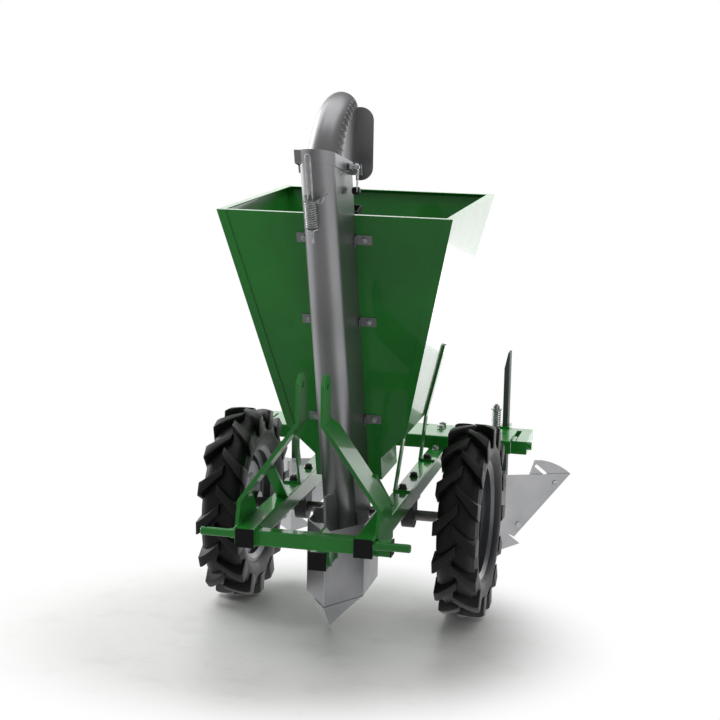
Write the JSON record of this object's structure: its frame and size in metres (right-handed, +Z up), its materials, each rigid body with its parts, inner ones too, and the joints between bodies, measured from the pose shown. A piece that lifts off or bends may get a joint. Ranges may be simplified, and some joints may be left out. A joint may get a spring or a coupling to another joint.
{
  "type": "potato planter",
  "caption": "Planter for tubers, hung on a tractor's hitch: pyramid hopper, cup elevator in a leaning duct, furrow opener, lugged drive wheels and sprung ridging bodies.",
  "frame": {"origin": "bottom centre of the bounding box, on the ground under the machine", "axes": "+X towards the machine's right when it is seen from the tractor, across the row and along the wheel axle; +Y to the rear, away from the tractor; +Z up"},
  "size_m": [1.086, 1.2994, 1.4504],
  "materials": {
    "bare_steel": "satin",
    "bearing_iron": "satin",
    "belt_rubber": "matte",
    "black_plastic": "matte",
    "green_paint": "gloss",
    "opener_paint": "satin",
    "rim_paint": "satin",
    "shank_paint": "satin",
    "silver_paint": "satin",
    "tyre_rubber": "matte",
    "wing_paint": "satin",
    "zinc_steel": "satin"
  },
  "bodies": {
    "frame": {"right_side_tube": "green_paint", "left_side_tube": "green_paint", "front_cross_tube": "green_paint", "rear_toolbar": "green_paint", "right_headstock_arm": "green_paint", "left_headstock_arm": "green_paint", "opener_beam": "green_paint", "opener_hanger": "green_paint", "tube_end_caps": "black_plastic", "lower_link_pins": "green_paint", "hopper_front_panel": "green_paint", "hopper_rear_panel": "green_paint", "hopper_right_panel": "green_paint", "hopper_left_panel": "green_paint", "hopper_funnel": "green_paint", "elevator_trough": "green_paint", "hopper_legs": "green_paint", "seed_duct": "silver_paint", "duct_elbow": "silver_paint", "duct_collar": "silver_paint", "duct_brackets": "silver_paint", "latch_hook": "zinc_steel", "latch_spring": "zinc_steel", "cup_chain": "belt_rubber", "elevator_roller": "bare_steel", "furrow_opener": "opener_paint", "opener_share": "opener_paint", "axle_bearings": "bearing_iron", "spring_rods": "zinc_steel", "right_ridger_bracket": "green_paint", "left_ridger_bracket": "green_paint"},
    "axle": {"drive_axle": "bare_steel", "drive_sprocket": "bare_steel", "right_wheel_rim": "rim_paint", "left_wheel_rim": "rim_paint", "right_tyre": "tyre_rubber", "left_tyre": "tyre_rubber"},
    "right_ridger": {"right_ridger_spring": "zinc_steel", "right_ridger_arm": "green_paint", "right_ridger_shank": "shank_paint", "right_ridger_body": "wing_paint"},
    "left_ridger": {"left_ridger_spring": "zinc_steel", "left_ridger_arm": "green_paint", "left_ridger_shank": "shank_paint", "left_ridger_body": "wing_paint"}
  },
  "joints": [
    {"name": "axle_spin", "type": "hinge", "parent": "frame", "child": "axle", "pos_m": [0, -0.01188, 0.273], "axis": [1, 0, 0], "continuous": true},
    {"name": "right_ridger_lift", "type": "hinge", "parent": "frame", "child": "right_ridger", "pos_m": [0.4125, 0.40933, 0.42791], "axis": [1, 0, 0], "range_deg": [0, 10], "stiffness_Nm_per_rad": 300, "springref_deg": -4.58, "deforming": ["right_ridger_spring"]},
    {"name": "left_ridger_lift", "type": "hinge", "parent": "frame", "child": "left_ridger", "pos_m": [-0.4125, 0.40933, 0.42791], "axis": [1, 0, 0], "range_deg": [0, 10], "stiffness_Nm_per_rad": 300, "springref_deg": -4.58, "deforming": ["left_ridger_spring"]}
  ]
}
